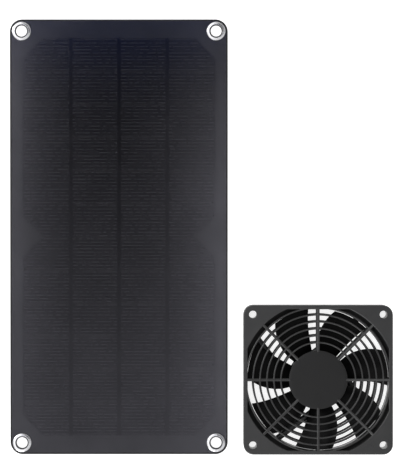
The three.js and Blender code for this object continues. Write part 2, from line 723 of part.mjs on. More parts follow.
function rotor() {
  const group = new THREE.Group();
  const magnetOuter = MAGNET.outer - SEAT_GAP;
  group.add(
    piece("impeller", "impeller", impellerGeometry()),
    piece("rotor_cup", "steel", yokeGeometry()),
    piece("magnet_ring", "magnet", tube(MAGNET.inner, magnetOuter, MAGNET.z0, MAGNET.z1, HUB_STEPS)),
    piece("shaft", "steel", disc(SHAFT.radius, SHAFT.z0, SHAFT.z1, SMALL_STEPS)),
    piece(
      "retaining_clip",
      "steel",
      tube(SHAFT.radius + SEAT_GAP, CLIP.outer, CLIP.z0, CLIP.z1, SMALL_STEPS),
    ),
  );
  return group;
}

// ---------------------------------------------------------------- the kit

function kit() {
  const fan = new THREE.Group();
  fan.add(fanUnit(), rotor());
  fan.position.x = (PANEL.width + SIDE_GAP) / 2;
  fan.position.y = -PANEL.length / 2 + FAN_SETBACK + FAN.side / 2;
  const whole = new THREE.Group();
  whole.add(panel(), fan);
  whole.updateMatrixWorld(true);
  const middle = new THREE.Box3().setFromObject(whole, true).getCenter(new THREE.Vector3());
  whole.position.set(-middle.x, -middle.y, 0);
  whole.updateMatrixWorld(true);
  return whole;
}

export default kit();
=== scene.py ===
"""Solar attic fan kit: a laminated solar panel and a 120 mm fan behind ring guards, lying face-up.

Metres, in the frame of the CAD model. The panel lies slightly tilted, so its pieces are made in
axes that lie in its face and are then turned into place.
"""
import json
import math

import bmesh
import bpy
from mathutils import Matrix, Vector


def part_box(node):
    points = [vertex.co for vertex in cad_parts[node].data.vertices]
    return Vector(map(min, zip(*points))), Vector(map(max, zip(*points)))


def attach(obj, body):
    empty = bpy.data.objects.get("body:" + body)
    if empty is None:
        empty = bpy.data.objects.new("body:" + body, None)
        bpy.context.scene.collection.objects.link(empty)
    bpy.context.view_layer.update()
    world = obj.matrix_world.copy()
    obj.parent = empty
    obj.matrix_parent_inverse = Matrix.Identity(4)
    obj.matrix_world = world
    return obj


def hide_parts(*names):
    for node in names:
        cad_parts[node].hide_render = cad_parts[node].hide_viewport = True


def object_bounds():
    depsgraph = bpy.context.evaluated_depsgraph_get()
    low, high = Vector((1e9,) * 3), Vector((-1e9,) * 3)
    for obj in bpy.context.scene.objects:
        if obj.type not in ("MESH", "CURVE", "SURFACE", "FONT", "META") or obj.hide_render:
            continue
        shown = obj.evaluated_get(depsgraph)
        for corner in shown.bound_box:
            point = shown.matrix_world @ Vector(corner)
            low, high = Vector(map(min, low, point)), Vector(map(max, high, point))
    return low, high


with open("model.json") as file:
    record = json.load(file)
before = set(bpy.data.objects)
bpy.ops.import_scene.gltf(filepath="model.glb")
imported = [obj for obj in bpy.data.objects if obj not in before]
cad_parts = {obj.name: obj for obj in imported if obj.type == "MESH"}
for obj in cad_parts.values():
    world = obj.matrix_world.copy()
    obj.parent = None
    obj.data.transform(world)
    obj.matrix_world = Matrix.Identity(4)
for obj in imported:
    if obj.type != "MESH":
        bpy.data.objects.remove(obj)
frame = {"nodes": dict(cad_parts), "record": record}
cad_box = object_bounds()

MM = 0.001

# ---------------------------------------------------------------- view

VIEW_HEIGHT = 0.3754
VIEW_OFFSET = Vector((-0.0003, 0.0042, 0))
CAMERA_DISTANCE = 3.0
SENSOR = 36.0

# ---------------------------------------------------------------- mesh tools

WELD = 1e-6  # points nearer than this are one point
SLIVER = 1e-7  # edges shorter than this are dropped
SHARP_ANGLE = 35  # degrees between faces, from which an edge counts as sharp


def clean(mesh):
    """Merges doubled points and gives every face an outward normal."""
    bm = bmesh.new()
    bm.from_mesh(mesh)
    bmesh.ops.remove_doubles(bm, verts=bm.verts, dist=WELD)
    bmesh.ops.dissolve_degenerate(bm, edges=bm.edges, dist=SLIVER)
    bmesh.ops.recalc_face_normals(bm, faces=bm.faces)
    bm.to_mesh(mesh)
    bm.free()
    return mesh


def mesh_from(points, faces):
    """A mesh from plain points and faces."""
    mesh = bpy.data.meshes.new("part")
    mesh.from_pydata([tuple(p) for p in points], [], faces)
    return clean(mesh)


def thing(mesh, name="part"):
    """An object that holds the mesh, in the scene."""
    obj = bpy.data.objects.new(name, mesh)
    bpy.context.scene.collection.objects.link(obj)
    return obj


def settled(obj):
    """The object's mesh with its modifiers applied; the object itself is removed."""
    graph = bpy.context.evaluated_depsgraph_get()
    mesh = bpy.data.meshes.new_from_object(obj.evaluated_get(graph))
    bpy.data.objects.remove(obj)
    return mesh


def combined(base, operation, *tools):
    """The base mesh joined with, or cut by, each tool mesh in turn."""
    for tool in tools:
        target, helper = thing(base), thing(tool)
        step = target.modifiers.new("step", "BOOLEAN")
        step.object = helper
        step.operation = operation
        step.solver = "MANIFOLD"
        base = settled(target)
        bpy.data.objects.remove(helper)
    return base


def joined(*meshes):
    return combined(meshes[0], "UNION", *meshes[1:])


def cut(base, *tools):
    return combined(base, "DIFFERENCE", *tools)


def bevelled(mesh, width, segments, angle=SHARP_ANGLE):
    """A prism with its sharp edges rounded."""
    obj = thing(mesh)
    step = obj.modifiers.new("edges", "BEVEL")
    step.width = width
    step.segments = segments
    step.limit_method = "ANGLE"
    step.angle_limit = math.radians(angle)
    step.use_clamp_overlap = True
    return clean(settled(obj))


def arc(cx, cy, radius, start, end, steps):
    """Points on an arc, in degrees, both ends included."""
    turns = [math.radians(start + (end - start) * i / steps) for i in range(steps + 1)]
    return [(cx + radius * math.cos(t), cy + radius * math.sin(t)) for t in turns]


def rounded_rectangle(width, length, radius, steps):
    """Corner-rounded outline, anticlockwise, centred on the origin."""
    x, y = width / 2 - radius, length / 2 - radius
    return (
        arc(x, -y, radius, -90, 0, steps)
        + arc(x, y, radius, 0, 90, steps)
        + arc(-x, y, radius, 90, 180, steps)
        + arc(-x, -y, radius, 180, 270, steps)
    )


def circle(radius, steps):
    return arc(0, 0, radius, 0, 360 * (steps - 1) / steps, steps - 1)


def prism(outline, z0, z1):
    """The outline carried from z0 to z1."""
    n = len(outline)
    points = [(x, y, z0) for x, y in outline] + [(x, y, z1) for x, y in outline]
    sides = [(i, (i + 1) % n, n + (i + 1) % n, n + i) for i in range(n)]
    return mesh_from(points, [tuple(reversed(range(n))), tuple(range(n, 2 * n))] + sides)


def stacked(rings):
    """A closed body through equal-length rings of 3-D points, its first and last ring filled."""
    n = len(rings[0])
    points = [p for ring in rings for p in ring]
    faces = [tuple(reversed(range(n))), tuple(range((len(rings) - 1) * n, len(rings) * n))]
    for k in range(len(rings) - 1):
        for i in range(n):
            j = (i + 1) % n
            faces.append((k * n + i, k * n + j, (k + 1) * n + j, (k + 1) * n + i))
    return mesh_from(points, faces)


def lathe(profile, steps, closed=True):
    """A body turned about Z from (radius, z) points, which close on themselves or run to the axis."""
    n = len(profile)
    points, faces = [], []
    for i in range(steps):
        turn = 2 * math.pi * i / steps
        points += [(r * math.cos(turn), r * math.sin(turn), z) for r, z in profile]
        a, b = i * n, ((i + 1) % steps) * n
        for k in range(n if closed else n - 1):
            m = (k + 1) % n
            faces.append((a + k, b + k, b + m, a + m))
    return mesh_from(points, faces)


def moved(mesh, x=0.0, y=0.0, z=0.0, turn=0.0):
    """The mesh turned about Z, in degrees, and then shifted."""
    mesh.transform(Matrix.Translation((x, y, z)) @ Matrix.Rotation(math.radians(turn), 4, "Z"))
    return mesh


def copied(mesh, x=0.0, y=0.0, z=0.0, turn=0.0):
    return moved(mesh.copy(), x, y, z, turn)


def merged(meshes):
    """Several separate bodies as one mesh, each keeping its own material index."""
    bm = bmesh.new()
    for mesh in meshes:
        bm.from_mesh(mesh)
    out = bpy.data.meshes.new("merged")
    bm.to_mesh(out)
    bm.free()
    return out


def block(x0, x1, y0, y1, z0, z1):
    return prism([(x0, y0), (x1, y0), (x1, y1), (x0, y1)], z0, z1)


def middle_of(box):
    return (box[0] + box[1]) / 2


# ---------------------------------------------------------------- the panel's tilt

MOUNTS = {mount["name"]: mount for mount in frame["record"]["mounts"]}
EAST, NORTH, UP = Vector((1, 0, 0)), Vector((0, 1, 0)), Vector((0, 0, 1))
PANEL_NORMAL = Vector(MOUNTS["panel_eyelet_1"]["axis"]).normalized()
PANEL_ALONG = PANEL_NORMAL.cross(EAST).normalized()
TILT = Matrix((EAST, PANEL_ALONG, PANEL_NORMAL)).transposed().to_4x4()
LEVEL = TILT.inverted()


def tilted_box(node):
    """(lowest, highest) corner of a CAD node in the panel's own axes."""
    points = [LEVEL @ v.co for v in frame["nodes"][node].data.vertices]
    return tuple(Vector(pick(p[i] for p in points) for i in range(3)) for pick in (min, max))


# ---------------------------------------------------------------- pieces

PARALLEL = 0.99999  # cosine from which two directions count as one


def is_flat(normal):
    """Whether a face lies square to the object or to its tilted panel."""
    return any(abs(normal.dot(way)) > PARALLEL for way in (EAST, NORTH, UP, PANEL_NORMAL, PANEL_ALONG))


def smooth(mesh, angle):
    """Shades curved faces smooth and flat faces flat."""
    mesh.set_sharp_from_angle(angle=math.radians(angle))
    for face in mesh.polygons:
        face.use_smooth = not is_flat(face.normal)


def add(name, mesh, body, materials, node, angle=SHARP_ANGLE):
    """Makes a piece from a mesh that is already in place; it stands in for the CAD node."""
    indices = [face.material_index for face in mesh.polygons]
    mesh.materials.clear()
    for material in materials:
        mesh.materials.append(material)
    mesh.polygons.foreach_set("material_index", indices)
    smooth(mesh, angle)
    mesh.name = name
    obj = thing(mesh, name)
    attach(obj, body)
    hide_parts(node)


def add_tilted(name, mesh, materials, node, angle=SHARP_ANGLE):
    """The same for a piece of the panel, made in the panel's own axes."""
    mesh.transform(TILT)
    add(name, mesh, "panel", materials, node, angle)


# ---------------------------------------------------------------- materials

NOISE_LOW, NOISE_HIGH = 0.3, 0.7  # most of a noise's values lie between these


class Tree:
    """Short ways to write a node tree."""

    def __init__(self, tree):
        self.tree = tree

    def new(self, kind, **values):
        """A node, with its sockets set by name (an underscore stands for a space)."""
        node = self.tree.nodes.new(kind)
        for key, value in values.items():
            node.inputs[key.replace("_", " ")].default_value = value
        return node

    def link(self, source, target):
        self.tree.links.new(source, target)

    def noise(self, scale, detail):
        """Noise in the object's own space; its scale is in features per metre."""
        node = self.new("ShaderNodeTexNoise", Scale=scale, Detail=detail, Roughness=0.55)
        self.link(self.new("ShaderNodeTexCoord").outputs["Object"], node.inputs["Vector"])
        return node.outputs["Fac"]

    def ramp(self, fac, *stops):
        """Colours between positions."""
        node = self.new("ShaderNodeValToRGB")
        for element, (position, colour) in zip(node.color_ramp.elements, stops):
            element.position = position
            element.color = (*colour, 1)
        self.link(fac, node.inputs["Fac"])
        return node.outputs["Color"]

    def graded(self, source, start, end, low, high):
        """Low at the start, high at the end, and held beyond them."""
        node = self.new("ShaderNodeMapRange", From_Min=start, From_Max=end, To_Min=low, To_Max=high)
        self.link(source, node.inputs["Value"])
        return node.outputs["Result"]

    def uneven(self, scale, low, high):
        """A value that wanders between two others."""
        return self.graded(self.noise(scale, 5.0), NOISE_LOW, NOISE_HIGH, low, high)

    def maths(self, kind, *values):
        """An arithmetic node over numbers and sockets."""
        node = self.new("ShaderNodeMath")
        node.operation = kind
        for socket, value in zip(node.inputs, values):
            if isinstance(value, (int, float)):
                socket.default_value = value
            else:
                self.link(value, socket)
        return node.outputs["Value"]

    def bump(self, height, strength, distance):
        node = self.new("ShaderNodeBump", Strength=strength, Distance=distance)
        self.link(height, node.inputs["Height"])
        return node.outputs["Normal"]


def new_material(name):
    """(material, tree, principled shader)"""
    material = bpy.data.materials.new(name)
    material.use_nodes = True
    return material, Tree(material.node_tree), material.node_tree.nodes["Principled BSDF"]


def mottled(tree, colour, scale, amount):
    """The colour, slightly uneven."""
    darker, lighter = (tuple(c * factor for c in colour) for factor in (1 - amount, 1 + amount))
    return tree.ramp(tree.noise(scale, 4.0), (NOISE_LOW, darker), (NOISE_HIGH, lighter))


def moulded(name, colour, roughness, specular=0.5, grain=1600.0, depth=0.03 * MM):
    """Moulded plastic or rubber: a fine spark texture and slight unevenness of colour and gloss."""
    material, tree, shader = new_material(name)
    shader.inputs["Specular IOR Level"].default_value = specular
    tree.link(mottled(tree, colour, scale=60.0, amount=0.12), shader.inputs["Base Color"])
    gloss = tree.uneven(scale=140.0, low=roughness - 0.05, high=roughness + 0.05)
    tree.link(gloss, shader.inputs["Roughness"])
    tree.link(tree.bump(tree.noise(grain, 2.0), strength=0.35, distance=depth), shader.inputs["Normal"])
    return material


def metal(name, colour, roughness):
    """Plated or worked metal with fine marks and slight dulling in patches."""
    material, tree, shader = new_material(name)
    shader.inputs["Metallic"].default_value = 1.0
    tree.link(mottled(tree, colour, scale=220.0, amount=0.08), shader.inputs["Base Color"])
    gloss = tree.uneven(scale=400.0, low=roughness * 0.7, high=roughness * 1.3)
    tree.link(gloss, shader.inputs["Roughness"])
    tree.link(tree.bump(tree.noise(900.0, 3.0), strength=0.25, distance=0.01 * MM), shader.inputs["Normal"])
    return material


LAMINATE_IOR = 1.54
LAMINATE_ROUGHNESS = 0.07
LAMINATE_TINT = (0.9, 0.885, 1.0, 1)


def laminated(name, colour, amount=0.12, scale=45.0):
    """A surface bonded under the clear film: its own dull colour with the laminate's gloss."""
    material, tree, shader = new_material(name)
    shader.inputs["IOR"].default_value = LAMINATE_IOR
    shader.inputs["Roughness"].default_value = LAMINATE_ROUGHNESS
    shader.inputs["Specular Tint"].default_value = LAMINATE_TINT
    tree.link(mottled(tree, colour, scale, amount), shader.inputs["Base Color"])
    tree.link(tree.bump(tree.noise(25.0, 1.0), strength=0.1, distance=0.01 * MM), shader.inputs["Normal"])
    return material


def clear_film(name):
    """The clear front laminate: it lets nearly all light through, a little unevenly."""
    material, tree, shader = new_material(name)
    tree.tree.nodes.remove(shader)
    clear = tree.new("ShaderNodeBsdfTransparent")
    tree.link(mottled(tree, (0.96, 0.96, 0.965), scale=30.0, amount=0.02), clear.inputs["Color"])
    tree.link(clear.outputs["BSDF"], tree.tree.nodes["Material Output"].inputs["Surface"])
    return material


BOARD = moulded("board_black", (0.0165, 0.0165, 0.018), 0.5, 0.3, grain=2600.0, depth=0.01 * MM)
BOARD_EDGE = moulded("board_edge", (0.006, 0.006, 0.0065), 0.55, 0.2)
BOARD_FACE = laminated("board_face", (0.0125, 0.0125, 0.0135))
CELL = laminated("cell_silicon", (0.0024, 0.0024, 0.003))
FINGER = laminated("finger_silver", (0.0145, 0.0145, 0.0155), amount=0.1, scale=300.0)
RIBBON = laminated("ribbon_black", (0.0006, 0.0006, 0.0008))
FILM = clear_film("film_clear")
NICKEL = metal("eyelet_nickel", (0.62, 0.62, 0.64), 0.22)
# a dark nickel that paints shade into the eyelets' throats and along their outer edges
NICKEL_PAINTED_SHADE = metal("eyelet_painted_shade", (0.07, 0.07, 0.072), 0.5)
STEEL = metal("zinc_steel", (0.55, 0.56, 0.58), 0.3)
LAMINATION = metal("stator_steel", (0.35, 0.36, 0.38), 0.45)
BRASS = metal("sintered_brass", (0.6, 0.43, 0.2), 0.35)
COPPER = metal("coil_copper", (0.62, 0.26, 0.1), 0.35)
BOX_PLASTIC = moulded("box_plastic", (0.018, 0.018, 0.019), 0.5)
RUBBER = moulded("rubber_black", (0.014, 0.014, 0.014), 0.75, grain=900.0)
FOAM = moulded("foam_pad", (0.05, 0.05, 0.052), 0.95, grain=1100.0, depth=0.1 * MM)
MAGNET = moulded("magnet_ferrite", (0.04, 0.036, 0.033), 0.7)
CIRCUIT = moulded("circuit_green", (0.015, 0.07, 0.03), 0.35, grain=3000.0, depth=0.01 * MM)
FAN_PLASTIC = moulded("fan_plastic", (0.008, 0.008, 0.0081), 0.32)
# the guard's own plastic, darkened on the centre disc as painted shade
SHADED_DISC_PLASTIC = moulded("fan_disc_shaded_plastic", (0.005, 0.005, 0.0052), 0.5, 0.22, grain=2200.0)
BLADE_PLASTIC = moulded("impeller_plastic", (0.003, 0.003, 0.0031), 0.5, 0.1)

# ---------------------------------------------------------------- camera, lights, floor


def camera():
    place = middle_of(cad_box) + VIEW_OFFSET
    data = bpy.data.cameras.new("camera")
    data.sensor_width = SENSOR
    data.lens = SENSOR * CAMERA_DISTANCE / VIEW_HEIGHT
    data.clip_start, data.clip_end = 0.05, 50.0
    obj = bpy.data.objects.new("camera", data)
    obj.location = (place.x, place.y, middle_of(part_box("cover_film")).z + CAMERA_DISTANCE)
    bpy.context.scene.collection.objects.link(obj)
    bpy.context.scene.camera = obj


def softbox(name, place, size, power):
    """A round area light that points at the origin."""
    data = bpy.data.lights.new(name, "AREA")
    data.shape = "DISK"
    data.size = size
    data.energy = power
    obj = bpy.data.objects.new(name, data)
    obj.location = place
    obj.rotation_mode = "QUATERNION"
    obj.rotation_quaternion = (-Vector(place)).to_track_quat("-Z", "Y")
    obj.visible_camera = False
    bpy.context.scene.collection.objects.link(obj)


SURROUND = 1.0
FLAG_DARK = 0.03  # brightness of the flag's darkest part, towards +Y
FLAG_RISE = 0.95  # what it gains towards -Y
LEFT_GLOW, RIGHT_GLOW, SKY_GLOW = 2.6, 2.8, 0.45
SKY_COLOUR = (0, 0.17, 1, 1)
FLOOR_GLOW = 0.85
FLOOR_REACH = 14.0
FLOOR_DROP = 0.2 * MM

# Each part of the flag is placed by where the panel's face mirrors it, in metres: the place at
# which it starts and the place at which it is whole or, in the END pairs, at which it starts to
# fade and is gone. They run along the CAD frame's X and Y.
FLAG_Y = (0.176, -0.146)
LEFT_X = (-0.083, -0.154)
RIGHT_X, RIGHT_END_X, RIGHT_Y = (-0.05, 0.026), (0.032, 0.08), (0.156, 0.044)
SKY_Y, SKY_END_Y, SKY_END_X = (0.132, 0.176), (0.276, 0.356), (0.032, 0.05)
OVERHEAD = (0.86, 0.975)  # how straight up a direction is where the flag starts and is whole


def east_of(x):
    """The sine, along east, of the direction that the panel's face mirrors at x."""
    return x / CAMERA_DISTANCE


def north_of(y):
    """The same along north, at y."""
    return (y - VIEW_OFFSET.y) / CAMERA_DISTANCE + 2 * PANEL_NORMAL.y


def studio():
    """A white surround with a graded dark flag overhead, which the glossy faces mirror.

    The directions are sines of small angles from straight up.
    """
    world = bpy.data.worlds.new("studio")
    world.use_nodes = True
    bpy.context.scene.world = world
    tree = Tree(world.node_tree)
    split = tree.new("ShaderNodeSeparateXYZ")
    tree.link(tree.new("ShaderNodeTexCoord").outputs["Generated"], split.inputs["Vector"])
    east, north, up = (split.outputs[axis] for axis in "XYZ")

    def across(span, low=0, high=1):
        return tree.graded(east, east_of(span[0]), east_of(span[1]), low, high)

    def along(span, low=0, high=1):
        return tree.graded(north, north_of(span[0]), north_of(span[1]), low, high)

    south = tree.maths("POWER", along(FLAG_Y), 2.0)
    left = tree.maths("POWER", across(LEFT_X), 11.0)
    left = tree.maths("MULTIPLY", left, tree.graded(south, 0, 1, LEFT_GLOW, 0.3 * LEFT_GLOW))
    right = along(RIGHT_Y, 0.3 * RIGHT_GLOW, RIGHT_GLOW)
    right = tree.maths("MULTIPLY", right, tree.graded(south, 0, 1, 1, 0.5))
    share = tree.maths("MULTIPLY", tree.maths("POWER", across(RIGHT_X), 2.6), across(RIGHT_END_X, 1, 0))
    right = tree.maths("MULTIPLY", right, share)
    flag = tree.maths("MULTIPLY_ADD", south, FLAG_RISE, FLAG_DARK)
    flag = tree.maths("ADD", tree.maths("ADD", flag, left), right)
    overhead = tree.graded(up, *OVERHEAD, 0, 1)
    strength = tree.new("ShaderNodeMix", A=SURROUND)
    tree.link(overhead, strength.inputs["Factor"])
    tree.link(flag, strength.inputs["B"])
    sky = tree.maths("MULTIPLY", along(SKY_Y), along(SKY_END_Y, 1, 0))
    sky = tree.maths("MULTIPLY", sky, across(SKY_END_X, SKY_GLOW, 0))
    sky = tree.maths("MULTIPLY", sky, overhead)

    background = world.node_tree.nodes["Background"]
    background.inputs["Color"].default_value = (1, 1, 1, 1)
    tree.link(strength.outputs["Result"], background.inputs["Strength"])
    blue = tree.new("ShaderNodeBackground", Color=SKY_COLOUR)
    tree.link(sky, blue.inputs["Strength"])
    total = tree.new("ShaderNodeAddShader")
    for node, socket in zip((background, blue), total.inputs):
        tree.link(node.outputs["Background"], socket)
    tree.link(total.outputs["Shader"], world.node_tree.nodes["World Output"].inputs["Surface"])


def floor():
    """A pale light table, so that the see-through parts stay pale as well."""
    corners = [(x * FLOOR_REACH, y * FLOOR_REACH, 0) for x, y in ((-1, -1), (1, -1), (1, 1), (-1, 1))]
    mesh = mesh_from(corners, [(0, 1, 2, 3)])
    material, _, shader = new_material("floor_pale")
    shader.inputs["Base Color"].default_value = (0.5, 0.5, 0.5, 1)
    shader.inputs["Roughness"].default_value = 0.9
    shader.inputs["Specular IOR Level"].default_value = 0.1
    shader.inputs["Emission Color"].default_value = (1, 1, 1, 1)
    shader.inputs["Emission Strength"].default_value = FLOOR_GLOW
    mesh.materials.append(material)
    obj = thing(mesh, "floor")
    obj.location.z = -FLOOR_DROP


# ---------------------------------------------------------------- panel

PANEL_CORNER = 10 * MM
BOARD_BEVEL, FILM_BEVEL = 0.2 * MM, 0.25 * MM
FILM_INSET = 1.2 * MM
EYELET_HOLE = 5.0 * MM
EYELET_STEPS = 96


def holed_sheet(node, layers):
    """A sheet of the panel's outline with its eyelet holes, through (inset, height) layers."""
    low, high = tilted_box(node)
    centre = middle_of((low, high))
    width, length = high.x - low.x, high.y - low.y
    rings = []
    for inset, z in layers:
        outline = rounded_rectangle(width - 2 * inset, length - 2 * inset, PANEL_CORNER - inset, 16)
        rings.append([(x + centre.x, y + centre.y, z) for x, y in outline])
    drill = prism(circle(EYELET_HOLE, EYELET_STEPS), low.z - MM, high.z + MM)
    places = [middle_of(tilted_box(f"eyelet_{i}")) for i in range(1, 5)]
    return cut(stacked(rings), *(copied(drill, place.x, place.y) for place in places))


def beyond(point, centre, width, length, radius):
    """Whether a point lies outside a rounded rectangle about the centre."""
    across = max(0.0, abs(point.x - centre.x) - (width / 2 - radius))
    along = max(0.0, abs(point.y - centre.y) - (length / 2 - radius))
    return math.hypot(across, along) > radius


def mark_rim(body, node, inset):
    """Gives the rim the second material and the face under the film the third."""
    low, high = tilted_box(node)
    size = high - low - Vector((2 * inset, 2 * inset, 0))
    for face in body.polygons:
        is_rim = beyond(face.center, middle_of((low, high)), size.x, size.y, PANEL_CORNER - inset)
        face.material_index = 1 if is_rim else 2 if face.normal.z > 0.5 else 0


def panel_sheets():
    """The board, its rim left bare, and the film laminated on it."""
    low, high = tilted_box("backing_board")
    layers = [(BOARD_BEVEL, low.z), (0, low.z + BOARD_BEVEL)]
    layers += [(0, high.z - BOARD_BEVEL), (BOARD_BEVEL, high.z), (FILM_INSET, high.z)]
    board = holed_sheet("backing_board", layers)
    mark_rim(board, "backing_board", FILM_INSET - 0.01 * MM)
    add_tilted("board_sheet", board, [BOARD, BOARD_EDGE, BOARD_FACE], "backing_board")
    low, high = tilted_box("cover_film")
    layers = [(FILM_INSET, low.z), (FILM_INSET, high.z - FILM_BEVEL), (FILM_INSET + FILM_BEVEL, high.z)]
    add_tilted("film_sheet", holed_sheet("cover_film", layers), [FILM], "cover_film")


WAFER_STRIPS = 6
WAFER_CHAMFER = 16.2 * MM
FINGERS_PER_STRIP = 10
FINGER_WIDTH = 0.55 * MM
FINGER_HEIGHT, FINGER_DEPTH = 0.02 * MM, 0.01 * MM
FINGER_MARGIN = 1.2 * MM
RIBBON_GAP = 0.1 * MM


def reach_at(y, box, cut_top, cut_bottom):
    """How far a strip reaches from its middle at y, where the wafer's corners are cut."""
    low, high = box
    half = (high.x - low.x) / 2
    top = half - WAFER_CHAMFER + (high.y - y) if cut_top else half
    bottom = half - WAFER_CHAMFER + (y - low.y) if cut_bottom else half
    return min(half, top, bottom)


def strip_plate(box, cut_top, cut_bottom):
    """The strip's silicon, with its ends' corners cut where they were the wafer's corners."""
    low, high = box
    middle = middle_of(box).x
    levels = [low.y, high.y]
    if cut_top:
        levels.insert(1, high.y - WAFER_CHAMFER)
    if cut_bottom:
        levels.insert(1, low.y + WAFER_CHAMFER)
    right = [(middle + reach_at(y, box, cut_top, cut_bottom), y) for y in levels]
    left = [(middle - reach_at(y, box, cut_top, cut_bottom), y) for y in reversed(levels)]
    return bevelled(prism(right + left, low.z, high.z), 0.05 * MM, 1)


def finger_row(y, edge, box, ribbons):
    """One printed finger at y, in lengths between the ribbons."""
    middle, z = middle_of(box).x, box[1].z
    stops = [middle - edge]
    for x0, x1 in ribbons:
        stops += [x0 - RIBBON_GAP, x1 + RIBBON_GAP]
    stops.append(middle + edge)
    half = FINGER_WIDTH / 2
    fingers = []
    for x0, x1 in zip(stops[::2], stops[1::2]):
        finger = block(x0, x1, y - half, y + half, z - FINGER_DEPTH, z + FINGER_HEIGHT)
        for face in finger.polygons:
            face.material_index = 1
        fingers.append(finger)
    return fingers


def cell_strip(index, ribbons, pitch):
    """One strip of a wafer: its plate, and the printed fingers between the collector ribbons."""
    name = f"cell_strip_{index + 1:02d}"
    box = tilted_box(name)
    place = index % WAFER_STRIPS
    cut_top, cut_bottom = place == 0, place == WAFER_STRIPS - 1
    pieces = [strip_plate(box, cut_top, cut_bottom)]
    for k in range(FINGERS_PER_STRIP):
        y = middle_of(box).y + (k - (FINGERS_PER_STRIP - 1) / 2) * pitch
        pieces += finger_row(y, reach_at(y, box, cut_top, cut_bottom) - FINGER_MARGIN, box, ribbons)
    add_tilted(name + "_wafer", merged(pieces), [CELL, FINGER], name)


def flat_ribbon(name, material):
    low, high = tilted_box(name)
    body = bevelled(block(low.x, high.x, low.y, high.y, low.z, high.z), 0.03 * MM, 2)
    add_tilted(name + "_strip", body, [material], name)


EYELET_BORE, EYELET_BARREL, EYELET_ROLL = 4.4 * MM, 4.8 * MM, 5.9 * MM
EYELET_CROWN = EYELET_BORE + 1.1 * MM  # the radius at which the flange is highest
CROWN_HEIGHT, THROAT_DEPTH = 0.65 * MM, 0.75 * MM
# the second width is how far in from the flange's outer edge the nickel is painted dark as shade
FLANGE_LIP, SHADED_RIM_WIDTH = 0.1 * MM, 0.3 * MM
ROLL_EDGE, BORE_EDGE = 0.3 * MM, 0.5 * MM
FLANGE_FULLNESS = 1.25


def quarter(steps, first=0):
    """Angles, in radians, over a quarter turn."""
    return [math.radians(90 * i / steps) for i in range(first, steps + 1)]


def eyelet_profile(flange, low, high):
    """The rolled end, the barrel, the domed flange and the throat, as (radius, z) points."""
    seat = high - CROWN_HEIGHT
    profile = arc(EYELET_BORE + BORE_EDGE, low + BORE_EDGE, BORE_EDGE, 180, 270, 5)
    profile += arc(EYELET_ROLL - ROLL_EDGE, low + ROLL_EDGE, ROLL_EDGE, -90, 90, 6)
    profile += [(EYELET_BARREL, low + 2 * ROLL_EDGE), (EYELET_BARREL, seat), (flange - 0.12 * MM, seat)]
    for turn in quarter(12):
        radius = EYELET_CROWN + (flange - EYELET_CROWN) * math.cos(turn) ** FLANGE_FULLNESS
        profile.append((radius, seat + FLANGE_LIP + (CROWN_HEIGHT - FLANGE_LIP) * math.sin(turn)))
    for turn in quarter(8, 1):
        radius = EYELET_CROWN - (EYELET_CROWN - EYELET_BORE) * math.sin(turn)
        profile.append((radius, high - THROAT_DEPTH * (1 - math.cos(turn))))
    return profile


def eyelet(index):
    """A nickel-plated ring, with shade painted dark into its throat and along its outer edge."""
    name = f"eyelet_{index}"
    low, high = tilted_box(name)
    flange = (high.x - low.x) / 2
    mesh = lathe(eyelet_profile(flange, low.z, high.z), EYELET_STEPS)
    for face in mesh.polygons:
        radius = math.hypot(face.center.x, face.center.y)
        # faces in the throat and on the outer edge take the dark nickel, which is painted shade
        is_bright = EYELET_CROWN - 0.1 * MM < radius < flange - SHADED_RIM_WIDTH
        face.material_index = 0 if is_bright else 1
    centre = middle_of((low, high))
    mesh = moved(mesh, centre.x, centre.y)
    add_tilted(name + "_ring", mesh, [NICKEL, NICKEL_PAINTED_SHADE], name, angle=50)


def washer(index):
    """The washer that the eyelet is rolled over, behind the board."""
    name = f"eyelet_washer_{index}"
    low, high = tilted_box(name)
    centre = middle_of((low, high))
    outer = (high.x - low.x) / 2
    rim = 0.12 * MM
    profile = [(EYELET_HOLE, low.z), (outer - rim, low.z), (outer, low.z + rim)]
    profile += [(outer, high.z - rim), (outer - rim, high.z), (EYELET_HOLE, high.z)]
    mesh = moved(lathe(profile, EYELET_STEPS), centre.x, centre.y)
    add_tilted(name + "_ring", mesh, [NICKEL], name, angle=50)


def panel():
    panel_sheets()
    ribbon_boxes = [tilted_box(f"bus_ribbon_{i}") for i in range(1, 4)]
    ribbons = [(low.x, high.x) for low, high in ribbon_boxes]
    strip_pitch = middle_of(tilted_box("cell_strip_01")).y - middle_of(tilted_box("cell_strip_02")).y
    for index in range(2 * WAFER_STRIPS):
        cell_strip(index, ribbons, strip_pitch / FINGERS_PER_STRIP)
    for index in range(1, 4):
        flat_ribbon(f"bus_ribbon_{index}", RIBBON)
    for end in ("top", "bottom"):
        flat_ribbon(f"end_ribbon_{end}", BOARD_FACE)
    for index in range(1, 5):
        eyelet(index)
        washer(index)


# ---------------------------------------------------------------- junction box

BOX_CORNER, BOX_EDGE = 3 * MM, 0.5 * MM
BOX_WALL = 2 * MM
BOX_FLOOR = 1.4 * MM
LID_BORDER, LID_RECESS = 4.5 * MM, 0.25 * MM
LID_SCREW_HEAD, LID_SCREW_RADIUS, LID_SCREW_BOSS = 2.2 * MM, 1.2 * MM, 2.9 * MM
CROSS_REACH, CROSS_HALF, CROSS_DEPTH = 1.3 * MM, 0.22 * MM, 0.45 * MM
GLAND_THREAD, GLAND_BORE = 3.0 * MM, 2.2 * MM
GLAND_COLLAR_LENGTH, NUT_THREAD_DEPTH = 3 * MM, 5.8 * MM
CLEARANCE = 0.05 * MM
KNURLS, KNURL_DEPTH = 22, 0.3 * MM


def rod(radius, z0, z1, x=0.0, y=0.0, steps=40):
    return moved(prism(circle(radius, steps), z0, z1), x, y)


def screw_places():
    return [middle_of(tilted_box(f"box_lid_screw_{i}")) for i in (1, 2)]


